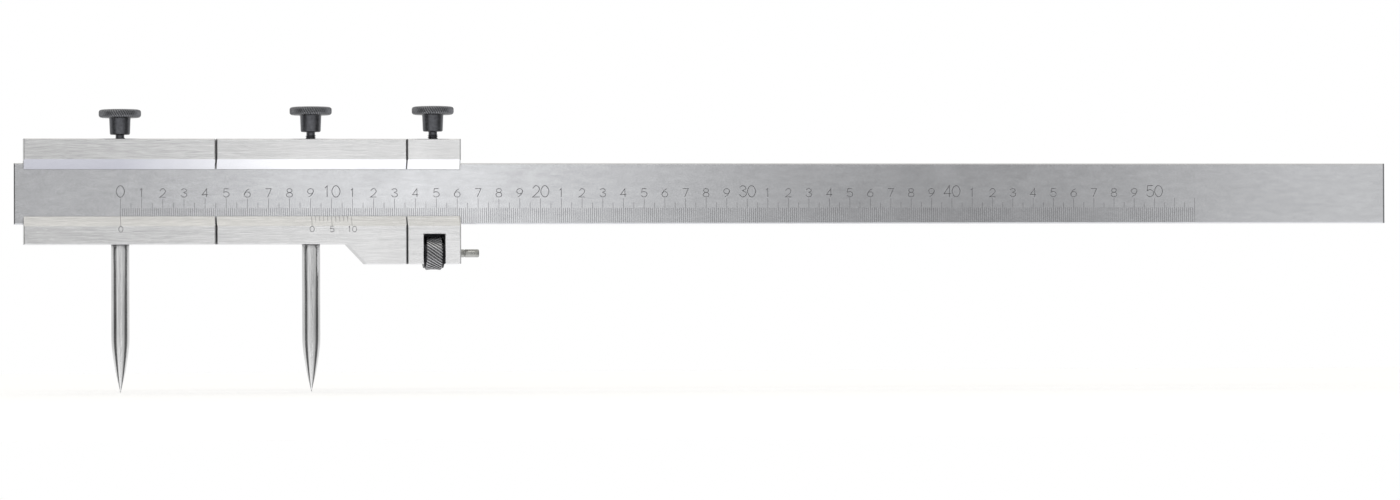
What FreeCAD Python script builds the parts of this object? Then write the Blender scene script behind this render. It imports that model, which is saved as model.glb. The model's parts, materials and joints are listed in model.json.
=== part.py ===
import FreeCAD, Part
import os
import Sketcher

# Beam trammel, standing on its two points as it does in use.
# X runs along the beam, Y from the graduated front to the back, and Z up from
# the plane that the points stand on. The origin is the tip of the zero point.

doc = FreeCAD.newDocument("BeamTrammel")
dims = doc.addObject("Spreadsheet::Sheet", "dims")

sizes = [
    # Beam
    ("beam_length", 665, "beam, end to end"),
    ("beam_height", 29, "beam, edge to edge"),
    ("beam_thick", 6, "beam, front to back"),
    ("beam_lead", 50, "left end of the beam to its zero mark"),
    ("beam_chamfer", 0.5, "broken edge round both faces of the beam"),
    # Levels, from the points' tips upwards
    ("point_reach", 70, "tip of a point to the underside of its head"),
    ("lower_bar", 9.5, "head below the beam"),
    ("upper_bar", 11.5, "head above the beam"),
    # Heads
    ("point_spacing", 90.4, "zero point to vernier point as drawn"),
    ("zero_left", 45.5, "zero point to the left end of its head"),
    ("zero_right", 44.5, "zero point to the right end of its head"),
    ("vernier_left", 45, "vernier point to the left end of its head"),
    ("vernier_right", 45, "vernier point to the right end of its head"),
    ("front_depth", 4, "head in front of the beam"),
    ("back_wall", 3.95, "head behind its channel"),
    ("slide_gap", 0.05, "running clearance round the beam"),
    ("lower_lip", 3.8, "lower lip over the face of the beam"),
    ("upper_lip", 2.9, "upper lip over the face of the beam"),
    ("lip_land", 0.4, "blunt edge of each lip"),
    ("bevel_height", 4.7, "height of each reading bevel"),
    ("edge_break", 0.3, "broken edge round both faces of a head"),
    ("extension_drop", 9.5, "vernier head's extension below the head"),
    ("slope_start", 16.6, "vernier point to the start of the slope"),
    ("slope_run", 9, "length of the slope along the beam"),
    # Fine adjustment
    ("carriage_gap", 0.6, "vernier head to carriage as drawn"),
    ("carriage_half", 12.7, "half the length of the carriage"),
    ("slot_width", 10, "window for the adjusting nut"),
    ("slot_roof", 4.7, "underside of the beam to the top of the window"),
    ("spindle_drop", 13.9, "underside of the beam to the spindle's axis"),
    ("spindle_dia", 3.9, "spindle"),
    ("spindle_seat", 10, "spindle inside the vernier head"),
    ("spindle_out", 9.2, "spindle past the carriage as drawn"),
    ("spindle_chamfer", 0.4, "bevelled end of the spindle"),
    ("spindle_gap", 0.1, "clearance round the spindle in the carriage"),
    ("relief_start", 2.1, "carriage to the relief groove on the spindle"),
    ("relief_width", 0.3, "width of the relief groove"),
    ("relief_depth", 0.25, "depth of the relief groove"),
    ("thread_gap", 0.05, "clearance between nut and spindle"),
    ("nut_dia", 16, "adjusting nut over its knurl"),
    ("nut_width", 8, "knurled rim of the nut"),
    ("nut_chamfer", 0.8, "bevel of the knurled rim"),
    ("nut_collar_dia", 9, "thrust collar each side of the rim"),
    ("nut_play", 0.1, "nut to window, each side"),
    ("web_thick", 2.1, "web across the back of the window, above the nut"),
    ("web_lap", 1.2, "that web below the top of the nut"),
    # Thumb screws and what they press on
    ("screw_dia", 4.9, "threaded shank"),
    ("screw_gap", 0.05, "clearance round the shank"),
    ("screw_standoff", 2, "head to the screw's neck when it is tight"),
    ("vernier_lift", 1.4, "vernier head's screw backed off as drawn"),
    ("carriage_lift", 1.7, "carriage's screw backed off as drawn"),
    ("undercut_dia", 4.1, "undercut below the neck"),
    ("undercut_height", 1.5, "length of the undercut"),
    ("tip_chamfer", 0.4, "bevelled end of the shank"),
    ("neck_foot_dia", 9.5, "neck at its foot"),
    ("neck_head_dia", 10.1, "neck below the disc"),
    ("neck_height", 7.9, "length of the neck"),
    ("neck_chamfer", 0.7, "rounded foot of the neck"),
    ("disc_dia", 20, "knurled disc"),
    ("disc_thick", 4.2, "knurled disc, top to bottom"),
    ("disc_chamfer", 0.5, "broken edges of the disc"),
    ("pad_dia", 4.6, "pressure pad"),
    ("pad_thick", 1.6, "pressure pad, without its stud"),
    ("pad_stud_dia", 2, "stud that holds the pad in the screw"),
    ("pad_stud_length", 1.2, "length of that stud"),
    ("pad_stud_gap", 0.05, "clearance round the stud"),
    ("contact_gap", 0.02, "parts that press on each other"),
    ("gib_thick", 1, "gib strip"),
    ("gib_inset", 1, "end of a gib strip inside the end of its head"),
    ("gib_play", 0.1, "gib strip to the roof of the channel"),
    ("gib_dimple_depth", 0.3, "dimples that keep a gib strip in its head"),
    # Scriber points
    ("point_dia", 8.6, "shank of a point"),
    ("point_taper", 16.9, "length of the long cone"),
    ("waist_dia", 3.8, "where the long cone meets the short one"),
    ("tip_length", 7, "length of the short cone"),
    ("tip_flat", 0.1, "blunt end of the tip"),
    ("spigot_dia", 5, "spigot inside the head"),
    ("spigot_length", 7.5, "length of the spigot"),
    ("spigot_gap", 0.02, "clearance round the spigot"),
    # Set screws
    ("set_screw_sink", 0.4, "set screws below the surface"),
    ("set_screw_gap", 0.05, "clearance round the set screws"),
    ("socket_size", 1.5, "hexagon socket of every set screw"),
    ("socket_depth", 1.2, "depth of the sockets"),
    ("gib_screw_dia", 2.9, "set screws that carry a gib strip"),
    ("gib_dog_dia", 1.8, "their ends, in the dimples of the strip"),
    ("head_gib_screw", 30, "thumb screw to the gib screws of a head"),
    ("carriage_gib_screw", 8.4, "thumb screw to the gib screws of the carriage"),
    ("point_lock_dia", 3.9, "set screw that locks a point"),
    ("point_lock_height", 4.75, "that set screw above the underside of a head"),
    ("spindle_lock_dia", 2.9, "set screw that locks the spindle"),
    ("spindle_lock_inset", 5, "that set screw to the end of the head"),
]
for row, (alias, value, note) in enumerate(sizes, start=1):
    dims.set(f"A{row}", note)
    dims.set(f"B{row}", str(value))
    dims.setAlias(f"B{row}", alias)
doc.recompute()

# Levels along Z and depths along Y that several pieces share
headBottom = "dims.point_reach"
beamBottom = f"({headBottom} + dims.lower_bar)"
beamTop = f"({beamBottom} + dims.beam_height)"
headTop = f"({beamTop} + dims.upper_bar)"
extensionBottom = f"({headBottom} - dims.extension_drop)"
spindleLevel = f"({beamBottom} - dims.spindle_drop)"
gibTop = f"({beamTop} + dims.slide_gap + dims.gib_thick)"
padBottom = f"({gibTop} + dims.contact_gap)"
shankEnd = f"({padBottom} + dims.pad_thick + dims.contact_gap)"
shankLength = f"({headTop} + dims.screw_standoff - {shankEnd})"
frontFace = "(dims.beam_thick / 2 + dims.front_depth)"
channelWall = "(dims.beam_thick / 2 + dims.slide_gap)"
backFace = f"({channelWall} + dims.back_wall)"

# Places along X of the vernier head's point and of the carriage's screw
vernierPlace = "dims.point_spacing"
vernierEnd = "(dims.point_spacing + dims.vernier_right)"
carriagePlace = f"({vernierEnd} + dims.carriage_gap + dims.carriage_half)"


def number(expression):
    """The value that an expression has now."""
    result = dims.evalExpression(expression)
    return float(getattr(result, "Value", result))


def originPlane(body, role):
    return [item for item in body.Origin.OriginFeatures if item.Role == role][0]


def newBody(node, x=None, z=None):
    """A body whose origin lies at x along the beam and z above the points' plane."""
    body = doc.addObject("PartDesign::Body", node)
    body.Label = node
    if x:
        body.setExpression(".Placement.Base.x", x)
    if z:
        body.setExpression(".Placement.Base.z", z)
    return body


def newSketch(body, name, role, lift=None):
    """An empty sketch on one of the body's own planes, lifted along its normal."""
    sketch = body.newObject("Sketcher::SketchObject", name)
    sketch.AttachmentSupport = (originPlane(body, role), [""])
    sketch.MapMode = "FlatFace"
    if lift:
        sketch.setExpression(".AttachmentOffset.Base.z", lift)
    return sketch


def bind(sketch, kind, places, expression):
    """A dimension of the sketch that follows an expression."""
    index = sketch.addConstraint(Sketcher.Constraint(kind, *places, number(expression)))
    sketch.setExpression(f"Constraints[{index}]", expression)


def polygon(sketch, corners):
    """A closed outline with each corner placed by two expressions."""
    points = [FreeCAD.Vector(number(x), number(y), 0) for x, y in corners]
    for index, start in enumerate(points):
        sketch.addGeometry(Part.LineSegment(start, points[(index + 1) % len(points)]))
    for index, (x, y) in enumerate(corners):
        sketch.addConstraint(
            Sketcher.Constraint("Coincident", index, 2, (index + 1) % len(points), 1)
        )
        bind(sketch, "DistanceX", (-1, 1, index, 1), x)
        bind(sketch, "DistanceY", (-1, 1, index, 1), y)


def circles(sketch, centres, diameter):
    for index, (x, y) in enumerate(centres):
        centre = FreeCAD.Vector(number(x), number(y), 0)
        radius = number(diameter) / 2
        sketch.addGeometry(Part.Circle(centre, FreeCAD.Vector(0, 0, 1), radius))
        bind(sketch, "DistanceX", (-1, 1, index, 3), x)
        bind(sketch, "DistanceY", (-1, 1, index, 3), y)
        bind(sketch, "Diameter", (index,), diameter)


def pad(body, name, sketch, length, other=None):
    """A pad along the sketch's normal, and by other against it."""
    feature = body.newObject("PartDesign::Pad", name)
    feature.Profile = sketch
    feature.setExpression("Length", length)
    if other:
        feature.SideType = "Two sides"
        feature.setExpression("Length2", other)
    doc.recompute()
    return feature


def remove(body, feature):
    """Recomputes a cutting feature and makes sure that it cut something."""
    before = feature.BaseFeature.Shape.Volume
    doc.recompute()
    if not feature.Shape.Volume < before:
        raise RuntimeError(f"{feature.Name} of {body.Label} cuts nothing")
    return feature


def pocket(body, name, sketch, depth=None, along=False, symmetric=False):
    """A pocket against the sketch's normal, or along it; without a depth it goes through."""
    feature = body.newObject("PartDesign::Pocket", name)
    feature.Profile = sketch
    feature.Reversed = along
    if symmetric:
        feature.SideType = "Symmetric"
    if depth:
        feature.setExpression("Length", depth)
    else:
        feature.Type = "ThroughAll"
    return remove(body, feature)


def revolve(body, name, corners, axis):
    """A turned solid from its half section on the XZ plane."""
    sketch = newSketch(body, name + "Section", "XZ_Plane")
    polygon(sketch, corners)
    feature = body.newObject("PartDesign::Revolution", name)
    feature.Profile = sketch
    feature.ReferenceAxis = (sketch, [axis])
    feature.Angle = 360
    doc.recompute()
    return feature


def breakEdges(body, base, normal, size):
    """Chamfers every edge of the largest flat face that looks along the normal."""
    faces = []
    for index, face in enumerate(base.Shape.Faces, start=1):
        if face.normalAt(0, 0).isEqual(normal, 1e-6):
            faces.append((face.Area, f"Face{index}"))
    chamfer = body.newObject("PartDesign::Chamfer", "EdgeBreak" + str(len(body.Group)))
    chamfer.Base = (base, [max(faces)[1]])
    chamfer.setExpression("Size", size)
    doc.recompute()
    return chamfer


front = FreeCAD.Vector(0, -1, 0)
back = FreeCAD.Vector(0, 1, 0)
alongY = FreeCAD.Rotation(FreeCAD.Vector(1, 0, 0), 90)
downwards = FreeCAD.Rotation(FreeCAD.Vector(1, 0, 0), 180)
pointLockLevel = f"({headBottom} + dims.point_lock_height)"


# Beam
def makeBeam():
    beam = newBody("beam")
    outline = newSketch(beam, "BeamOutline", "XZ_Plane")
    left = "-dims.beam_lead"
    right = "dims.beam_length - dims.beam_lead"
    polygon(outline, [(left, beamBottom), (right, beamBottom), (right, beamTop), (left, beamTop)])
    bar = pad(beam, "BeamBar", outline, "dims.beam_thick / 2", "dims.beam_thick / 2")
    bar = breakEdges(beam, bar, front, "dims.beam_chamfer")
    breakEdges(beam, bar, back, "dims.beam_chamfer")
    return beam


# Outlines of the heads, seen from the front
def zeroOutline():
    left, right = "-dims.zero_left", "dims.zero_right"
    return [(left, headBottom), (right, headBottom), (right, headTop), (left, headTop)]


def vernierOutline():
    left, right = "-dims.vernier_left", "dims.vernier_right"
    return [
        (left, headBottom),
        ("dims.slope_start", headBottom),
        ("dims.slope_start + dims.slope_run", extensionBottom),
        (right, extensionBottom),
        (right, headTop),
        (left, headTop),
    ]


def carriageOutline():
    left, right = "-dims.carriage_half", "dims.carriage_half"
    slotLeft, slotRight = "-dims.slot_width / 2", "dims.slot_width / 2"
    slotTop = f"{beamBottom} - dims.slot_roof"
    return [
        (left, extensionBottom),
        (slotLeft, extensionBottom),
        (slotLeft, slotTop),
        (slotRight, slotTop),
        (slotRight, extensionBottom),
        (right, extensionBottom),
        (right, headTop),
        (left, headTop),
    ]


def addWindowWeb(block):
    """The web at the back of the carriage's window, which stiffens it above the nut."""
    left, right = "-dims.slot_width / 2", "dims.slot_width / 2"
    bottom = f"{spindleLevel} + dims.nut_dia / 2 - dims.web_lap"
    top = f"{beamBottom} - dims.slot_roof"
    outline = newSketch(block, "WindowWebOutline", "XZ_Plane", f"-{backFace}")
    polygon(outline, [(left, bottom), (right, bottom), (right, top), (left, top)])
    return pad(block, "WindowWeb", outline, "dims.web_thick")


def makeBlock(node, x, outline, gibScrewPlace, addition=None):
    """A head's block: one channel for beam and gib strip, with two reading lips in front."""
    block = newBody(node, x)
    face = newSketch(block, node + "_outline", "XZ_Plane")
    polygon(face, outline)
    solid = pad(block, node + "_blank", face, frontFace, backFace)
    if addition:
        solid = addition(block)
    solid = breakEdges(block, solid, front, "dims.edge_break")
    breakEdges(block, solid, back, "dims.edge_break")

    # The channel behind the lips, and the window that shows the scale
    wall = f"-{channelWall}"
    land = f"-({channelWall} + dims.lip_land)"
    nose = f"-{frontFace}"
    floor = f"{beamBottom} - dims.slide_gap"
    roof = f"{gibTop} + dims.gib_play"
    lowEdge = f"{beamBottom} + dims.lower_lip"
    highEdge = f"{beamTop} - dims.upper_lip"
    section = newSketch(block, node + "_channel_section", "YZ_Plane")
    polygon(
        section,
        [
            (channelWall, floor),
            (wall, floor),
            (wall, lowEdge),
            (land, lowEdge),
            (nose, f"{lowEdge} - dims.bevel_height"),
            (nose, f"{highEdge} + dims.bevel_height"),
            (land, highEdge),
            (wall, highEdge),
            (wall, roof),
            (channelWall, roof),
        ],
    )
    pocket(block, node + "_channel", section, symmetric=True)

    # Threaded holes of the thumb screw and of the two gib screws
    bore = newSketch(block, node + "_screw_circle", "XY_Plane", beamTop)
    circles(bore, [("0", "0")], "dims.screw_dia + 2 * dims.screw_gap")
    pocket(block, node + "_screw_hole", bore, along=True)
    gibScrews = newSketch(block, node + "_gib_circles", "XY_Plane", beamTop)
    circles(
        gibScrews,
        [(f"-{gibScrewPlace}", "0"), (gibScrewPlace, "0")],
        "dims.gib_screw_dia + 2 * dims.set_screw_gap",
    )
    pocket(block, node + "_gib_holes", gibScrews, along=True)
    return block


def addPointSocket(block):
    """The blind hole for the point's spigot, and the hole of the set screw that locks it."""
    node = block.Label
    spigot = newSketch(block, node + "_spigot_circle", "XY_Plane", headBottom)
    circles(spigot, [("0", "0")], "dims.spigot_dia + 2 * dims.spigot_gap")
    pocket(block, node + "_spigot_hole", spigot, "dims.spigot_length + dims.spigot_gap", along=True)
    lock = newSketch(block, node + "_lock_circle", "XZ_Plane", f"-{backFace}")
    circles(lock, [("0", pointLockLevel)], "dims.point_lock_dia + 2 * dims.set_screw_gap")
    pocket(block, node + "_lock_hole", lock, backFace, along=True)


def addSpindleSeat(block):
    """The spindle's hole in the end of the vernier head, and its set screw from below."""
    seat = newSketch(block, "SpindleCircle", "YZ_Plane", "dims.vernier_right")
    circles(seat, [("0", spindleLevel)], "dims.spindle_dia + 2 * dims.spigot_gap")
    pocket(block, "SpindleHole", seat, "dims.spindle_seat + dims.contact_gap")
    lock = newSketch(block, "SpindleLockCircle", "XY_Plane", extensionBottom)
    place = ("dims.vernier_right - dims.spindle_lock_inset", "0")
    circles(lock, [place], "dims.spindle_lock_dia + 2 * dims.set_screw_gap")
    pocket(block, "SpindleLockHole", lock, f"{spindleLevel} - {extensionBottom}", along=True)


def addSpindlePassage(block):
    """The clear hole for the spindle through both legs of the carriage."""
    passage = newSketch(block, "PassageCircle", "YZ_Plane")
    circles(passage, [("0", spindleLevel)], "dims.spindle_dia + 2 * dims.spindle_gap")
    pocket(block, "Passage", passage, symmetric=True)


def makeGib(node, x, leftEnd, rightEnd, screwPlace):
    """The thin strip between the pressure pad and the upper edge of the beam."""
    strip = newBody(node, x, f"{beamTop} + dims.slide_gap")
    left, right = f"dims.gib_inset - {leftEnd}", f"{rightEnd} - dims.gib_inset"
    low, high = "-dims.beam_thick / 2", "dims.beam_thick / 2"
    outline = newSketch(strip, node + "_outline", "XY_Plane")
    polygon(outline, [(left, low), (right, low), (right, high), (left, high)])
    pad(strip, node + "_strip", outline, "dims.gib_thick")
    dimples = newSketch(strip, node + "_dimple_circles", "XY_Plane", "dims.gib_thick")
    places = [(f"-{screwPlace}", "0"), (screwPlace, "0")]
    circles(dimples, places, "dims.gib_dog_dia + 2 * dims.set_screw_gap")
    pocket(strip, node + "_dimples", dimples, "dims.gib_dimple_depth")
    return strip


def makePad(node, x, lift):
    """The pad at the end of a thumb screw, with the stud that it turns on."""
    padBody = newBody(node, x, f"{padBottom} + {lift}")
    rim = "dims.pad_dia / 2"
    stud = "dims.pad_stud_dia / 2"
    top = "dims.pad_thick"
    studTop = "dims.pad_thick + dims.pad_stud_length"
    section = [("0", "0"), (rim, "0"), (rim, top), (stud, top), (stud, studTop), ("0", studTop)]
    revolve(padBody, node + "_turned", section, "V_Axis")
    return padBody


def makeThumbScrew(node, x, lift):
    """A thumb screw with a tall neck and a wide disc; its origin is at the neck's foot."""
    screw = newBody(node, x, f"{headTop} + dims.screw_standoff + {lift}")
    shank = "dims.screw_dia / 2"
    end = f"-{shankLength}"
    socket = "dims.pad_stud_dia / 2 + dims.pad_stud_gap"
    socketEnd = f"{end} + dims.pad_stud_length + dims.pad_stud_gap"
    foot = "dims.neck_foot_dia / 2"
    rim = "dims.disc_dia / 2"
    top = "dims.neck_height + dims.disc_thick"
    section = [
        ("0", socketEnd),
        (socket, socketEnd),
        (socket, end),
        (f"{shank} - dims.tip_chamfer", end),
        (shank, f"{end} + dims.tip_chamfer"),
        (shank, "-dims.undercut_height"),
        ("dims.undercut_dia / 2", "-dims.undercut_height"),
        ("dims.undercut_dia / 2", "0"),
        (f"{foot} - dims.neck_chamfer", "0"),
        (foot, "dims.neck_chamfer"),
        ("dims.neck_head_dia / 2", "dims.neck_height"),
        (f"{rim} - dims.disc_chamfer", "dims.neck_height"),
        (rim, "dims.neck_height + dims.disc_chamfer"),
        (rim, f"{top} - dims.disc_chamfer"),
        (f"{rim} - dims.disc_chamfer", top),
        ("0", top),
    ]
    revolve(screw, node + "_turned", section, "V_Axis")
    return screw


def makePoint(node, x):
    """A hardened point: round shank, a long cone and a short one."""
    point = newBody(node, x)
    shank = "dims.point_dia / 2"
    spigot = "dims.spigot_dia / 2"
    spigotTop = f"{headBottom} + dims.spigot_length"
    section = [
        ("0", "0"),
        ("dims.tip_flat / 2", "0"),
        ("dims.waist_dia / 2", "dims.tip_length"),
        (shank, "dims.tip_length + dims.point_taper"),
        (shank, headBottom),
        (spigot, headBottom),
        (spigot, spigotTop),
        ("0", spigotTop),
    ]
    revolve(point, node + "_turned", section, "V_Axis")
    return point


def makeSpindle():
    """The threaded spindle of the fine adjustment; its origin is at the head's end."""
    spindle = newBody("adjusting_spindle", vernierEnd, spindleLevel)
    side = "dims.spindle_dia / 2"
    carriageEnd = "(dims.carriage_gap + 2 * dims.carriage_half)"
    relief = f"({carriageEnd} + dims.relief_start)"
    floor = f"{side} - dims.relief_depth"
    end = f"({carriageEnd} + dims.spindle_out)"
    section = [
        ("-dims.spindle_seat", "0"),
        ("-dims.spindle_seat", side),
        (relief, side),
        (relief, floor),
        (f"{relief} + dims.relief_width", floor),
        (f"{relief} + dims.relief_width", side),
        (f"{end} - dims.spindle_chamfer", side),
        (end, f"{side} - dims.spindle_chamfer"),
        (end, "0"),
    ]
    revolve(spindle, "SpindleTurned", section, "H_Axis")
    return spindle


def makeNut():
    """The knurled nut in the carriage's window; its origin is at its middle."""
    nut = newBody("adjusting_nut", carriagePlace, spindleLevel)
    bore = "dims.spindle_dia / 2 + dims.thread_gap"
    collar = "dims.nut_collar_dia / 2"
    rim = "dims.nut_dia / 2"
    side = "dims.nut_width / 2"
    reach = "(dims.slot_width / 2 - dims.nut_play)"
    section = [
        (f"-{reach}", bore),
        (reach, bore),
        (reach, collar),
        (side, collar),
        (side, f"{rim} - dims.nut_chamfer"),
        (f"{side} - dims.nut_chamfer", rim),
        (f"dims.nut_chamfer - {side}", rim),
        (f"-{side}", f"{rim} - dims.nut_chamfer"),
        (f"-{side}", collar),
        (f"-{reach}", collar),
    ]
    revolve(nut, "NutTurned", section, "H_Axis")
    return nut


def place(item, x, y, z, turn=None):
    """Binds a primitive's place, after its rotation is set."""
    if turn:
        item.Placement = FreeCAD.Placement(FreeCAD.Vector(), turn)
    item.setExpression(".Placement.Base.x", x)
    item.setExpression(".Placement.Base.y", y)
    item.setExpression(".Placement.Base.z", z)


def makeSetScrew(node, diameter, length, spot, turn=None, dogLength=None):
    """A headless screw that starts at its socket; a dog at its end is optional."""
    shank = doc.addObject("Part::Cylinder", node + "_shank")
    shank.setExpression("Radius", f"{diameter} / 2")
    shank.setExpression("Height", length)
    place(shank, *spot, turn)
    blank = shank
    if dogLength:
        dog = doc.addObject("Part::Cylinder", node + "_dog")
        dog.setExpression("Radius", "dims.gib_dog_dia / 2")
        dog.setExpression("Height", f"{length} + {dogLength}")
        place(dog, *spot, turn)
        blank = doc.addObject("Part::Fuse", node + "_blank")
        blank.Base = shank
        blank.Tool = dog
    socket = doc.addObject("Part::Prism", node + "_socket")
    socket.Polygon = 6
    socket.setExpression("Circumradius", "dims.socket_size / sqrt(3)")
    socket.setExpression("Height", "dims.socket_depth")
    place(socket, *spot, turn)
    screw = doc.addObject("Part::Cut", node)
    screw.Label = node
    screw.Base = blank
    screw.Tool = socket
    return screw


def makeGibScrews(node, x, screwPlace):
    """The two set screws above a gib strip, as separate solids in one node."""
    top = f"{headTop} - dims.set_screw_sink"
    dogLength = "(dims.gib_dimple_depth - dims.contact_gap)"
    length = f"({top} - {gibTop} - dims.contact_gap)"
    screws = []
    for side, sign in (("left", "-"), ("right", "+")):
        spot = (f"{x} {sign} {screwPlace}", "0", top)
        name = f"{node}_{side}"
        screws.append(makeSetScrew(name, "dims.gib_screw_dia", length, spot, downwards, dogLength))
    group = doc.addObject("Part::Compound", node)
    group.Label = node
    group.Links = screws
    return group


def makePointLock(node, x):
    """The set screw in the back of a head that holds the point's spigot."""
    outer = f"{backFace} - dims.set_screw_sink"
    length = f"{outer} - (dims.spigot_dia / 2 + dims.spigot_gap)"
    return makeSetScrew(node, "dims.point_lock_dia", length, (x, outer, pointLockLevel), alongY)


def makeSpindleLock():
    """The set screw below the extension that holds the spindle."""
    start = f"{extensionBottom} + dims.set_screw_sink"
    length = f"{spindleLevel} - dims.spindle_dia / 2 - dims.spigot_gap - ({start})"
    spot = (f"{vernierEnd} - dims.spindle_lock_inset", "0", start)
    return makeSetScrew("spindle_lock_screw", "dims.spindle_lock_dia", length, spot)


# Zero head
zeroBlock = makeBlock("zero_head_body", None, zeroOutline(), "dims.head_gib_screw")
addPointSocket(zeroBlock)
zeroHead = [
    zeroBlock,
    makeGib("zero_gib_strip", None, "dims.zero_left", "dims.zero_right", "dims.head_gib_screw"),
    makeGibScrews("zero_gib_screws", "0", "dims.head_gib_screw"),
    makePad("zero_pressure_pad", None, "0"),
    makeThumbScrew("zero_clamp_screw", None, "0"),
    makePoint("zero_point", None),
    makePointLock("zero_point_lock_screw", "0"),
]

# Vernier head
vernierBlock = makeBlock(
    "vernier_head_body", vernierPlace, vernierOutline(), "dims.head_gib_screw"
)
addPointSocket(vernierBlock)
addSpindleSeat(vernierBlock)
vernierEnds = ("dims.vernier_left", "dims.vernier_right")
vernierHead = [
    vernierBlock,
    makeGib("vernier_gib_strip", vernierPlace, *vernierEnds, "dims.head_gib_screw"),
    makeGibScrews("vernier_gib_screws", vernierPlace, "dims.head_gib_screw"),
    makePad("vernier_pressure_pad", vernierPlace, "dims.vernier_lift"),
    makeThumbScrew("vernier_clamp_screw", vernierPlace, "dims.vernier_lift"),
    makePoint("vernier_point", vernierPlace),
    makePointLock("vernier_point_lock_screw", vernierPlace),
    makeSpindle(),
    makeSpindleLock(),
]

# Carriage of the fine adjustment
carriageBlock = makeBlock(
    "carriage_body", carriagePlace, carriageOutline(), "dims.carriage_gib_screw", addWindowWeb
)
addSpindlePassage(carriageBlock)
carriageEnds = ("dims.carriage_half", "dims.carriage_half")
carriage = [
    carriageBlock,
    makeGib("carriage_gib_strip", carriagePlace, *carriageEnds, "dims.carriage_gib_screw"),
    makeGibScrews("carriage_gib_screws", carriagePlace, "dims.carriage_gib_screw"),
    makePad("carriage_pressure_pad", carriagePlace, "dims.carriage_lift"),
    makeThumbScrew("carriage_clamp_screw", carriagePlace, "dims.carriage_lift"),
    makeNut(),
]

pieces = [makeBeam()] + zeroHead + vernierHead + carriage
doc.recompute()

for item in doc.Objects:
    if {"Invalid", "Error"} & set(item.State):
        raise RuntimeError(f"{item.Name} did not recompute: {item.State}")
for piece in pieces:
    if piece.Shape.isNull() or not piece.Shape.isValid():
        raise RuntimeError(f"{piece.Label} has no valid shape")

os.makedirs("parts", exist_ok=True)
for piece in pieces:
    piece.Shape.exportStep(f"parts/{piece.Label}.step")
    box = piece.Shape.BoundBox
    print(
        f"{piece.Label:26s} solids {len(piece.Shape.Solids)}  volume {piece.Shape.Volume:9.1f}"
        f"  x {box.XMin:7.2f} {box.XMax:7.2f}  y {box.YMin:6.2f} {box.YMax:6.2f}"
        f"  z {box.ZMin:6.2f} {box.ZMax:6.2f}"
    )
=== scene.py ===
import json
import math
import bmesh
import bpy
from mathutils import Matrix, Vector


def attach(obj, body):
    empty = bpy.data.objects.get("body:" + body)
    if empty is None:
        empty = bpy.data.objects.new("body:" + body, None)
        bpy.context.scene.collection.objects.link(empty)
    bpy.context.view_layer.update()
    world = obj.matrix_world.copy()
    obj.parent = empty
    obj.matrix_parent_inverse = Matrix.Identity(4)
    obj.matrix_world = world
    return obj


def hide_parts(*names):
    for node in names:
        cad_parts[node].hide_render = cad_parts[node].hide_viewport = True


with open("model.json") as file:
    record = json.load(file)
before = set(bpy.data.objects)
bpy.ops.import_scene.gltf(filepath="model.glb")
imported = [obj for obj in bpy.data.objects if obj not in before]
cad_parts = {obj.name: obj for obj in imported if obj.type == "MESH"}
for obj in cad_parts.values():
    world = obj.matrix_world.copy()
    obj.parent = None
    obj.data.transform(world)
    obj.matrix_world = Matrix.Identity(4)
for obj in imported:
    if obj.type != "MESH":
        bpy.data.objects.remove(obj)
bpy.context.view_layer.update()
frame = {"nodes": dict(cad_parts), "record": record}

# Beam trammel: a graduated steel bar with a zero head, a vernier head and a fine adjustment.
# Metres, in the frame of the solids: X along the beam, Z up, the front faces -Y.

bpy.context.scene.view_settings.view_transform = "Standard"

tiny = 1e-6  # a thousandth of a millimetre: what is closer counts as the same
# places along the beam in the pose of the photograph; the zero head stands at 0
vernierX = 0.0904
carriageX = 0.1487


# Small tools for modelling and for nodes

def clearSelection():
    if bpy.context.mode != "OBJECT":
        bpy.ops.object.mode_set(mode="OBJECT")
    bpy.ops.object.select_all(action="DESELECT")


def selectOnly(*pieces):
    clearSelection()
    for piece in pieces:
        piece.select_set(True)
    bpy.context.view_layer.objects.active = pieces[0]


def named(name):
    # the object that the last operator added
    piece = bpy.context.object
    piece.name = piece.data.name = name
    return piece


def settle(piece):
    # place, turn and size go into the mesh
    selectOnly(piece)
    bpy.ops.object.transform_apply(location=True, rotation=True, scale=True)


def applyModifiers(piece):
    selectOnly(piece)
    for modifier in list(piece.modifiers):
        bpy.ops.object.modifier_apply(modifier=modifier.name)


def smooth(piece, degrees):
    # edges that bend by more than this stay sharp
    selectOnly(piece)
    bpy.ops.object.shade_smooth_by_angle(angle=math.radians(degrees))


def joinAs(name, pieces):
    selectOnly(*pieces)
    bpy.ops.object.join()
    return named(name)


def dress(piece, material):
    piece.data.materials.clear()
    piece.data.materials.append(material)


def newGroup(name, inputs, outputs):
    # a shader node group with its own sockets; returns the tree and its two ends
    group = bpy.data.node_groups.new(name, "ShaderNodeTree")
    for label, kind, value in inputs:
        socket = group.interface.new_socket(label, in_out="INPUT", socket_type=kind)
        socket.default_value = value
    for label, kind in outputs:
        group.interface.new_socket(label, in_out="OUTPUT", socket_type=kind)
    return group, group.nodes.new("NodeGroupInput"), group.nodes.new("NodeGroupOutput")


def addNode(tree, kind, inputs=None, **settings):
    # inputs: socket name or number -> a plain value or the output that feeds it
    node = tree.nodes.new(kind)
    for label, value in settings.items():
        setattr(node, label, value)
    for label, value in (inputs or {}).items():
        if isinstance(value, bpy.types.NodeSocket):
            tree.links.new(value, node.inputs[label])
        else:
            node.inputs[label].default_value = value
    return node


def mapRange(tree, value, start, end, low=0, high=1):
    # low where the value is at start and below, high where it is at end and beyond
    limits = {"Value": value, "From Min": start, "From Max": end, "To Min": low, "To Max": high}
    return addNode(tree, "ShaderNodeMapRange", limits).outputs[0]


print("trammel: frame loaded")


# Camera: a long lens, low and to the left, turned towards the far end of the beam

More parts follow.
